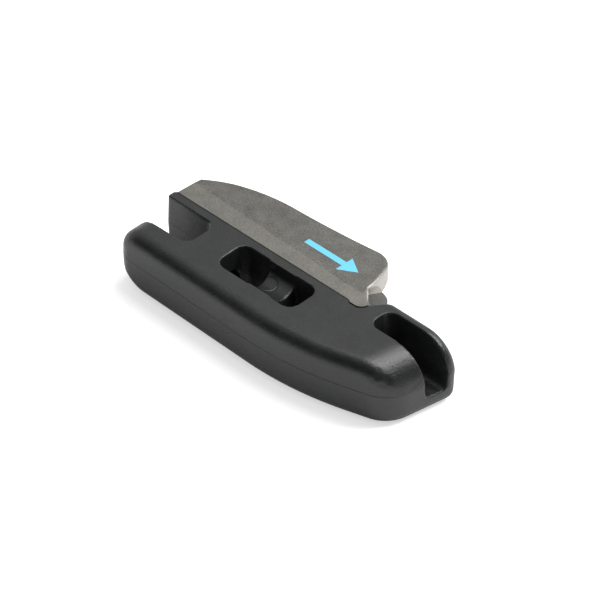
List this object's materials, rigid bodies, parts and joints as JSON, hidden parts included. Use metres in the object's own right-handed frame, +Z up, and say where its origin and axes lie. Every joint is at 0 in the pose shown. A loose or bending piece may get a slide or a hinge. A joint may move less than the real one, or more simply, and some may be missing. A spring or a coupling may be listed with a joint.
{
  "type": "jam cleat",
  "caption": "In-line rope cleat: a toothed aluminium V cleat on a moulded plastic body with a rope notch, windows and a bow slot",
  "frame": {"origin": "middle of the part's outline at its lowest point, as it lies on its flat side", "axes": "+X to the bow end that takes the load, +Y to the mouth of the rope groove, +Z up through the thickness"},
  "size_m": [0.092, 0.0406, 0.0183],
  "materials": {
    "body": "dark grey moulded nylon, fine matt grain",
    "cleat": "hard anodised casting, dull warm grey",
    "screws": "plain stainless steel"
  },
  "bodies": {
    "root": {"body": "body", "cleat": "cleat", "fixing_screws": "screws"}
  },
  "joints": []
}
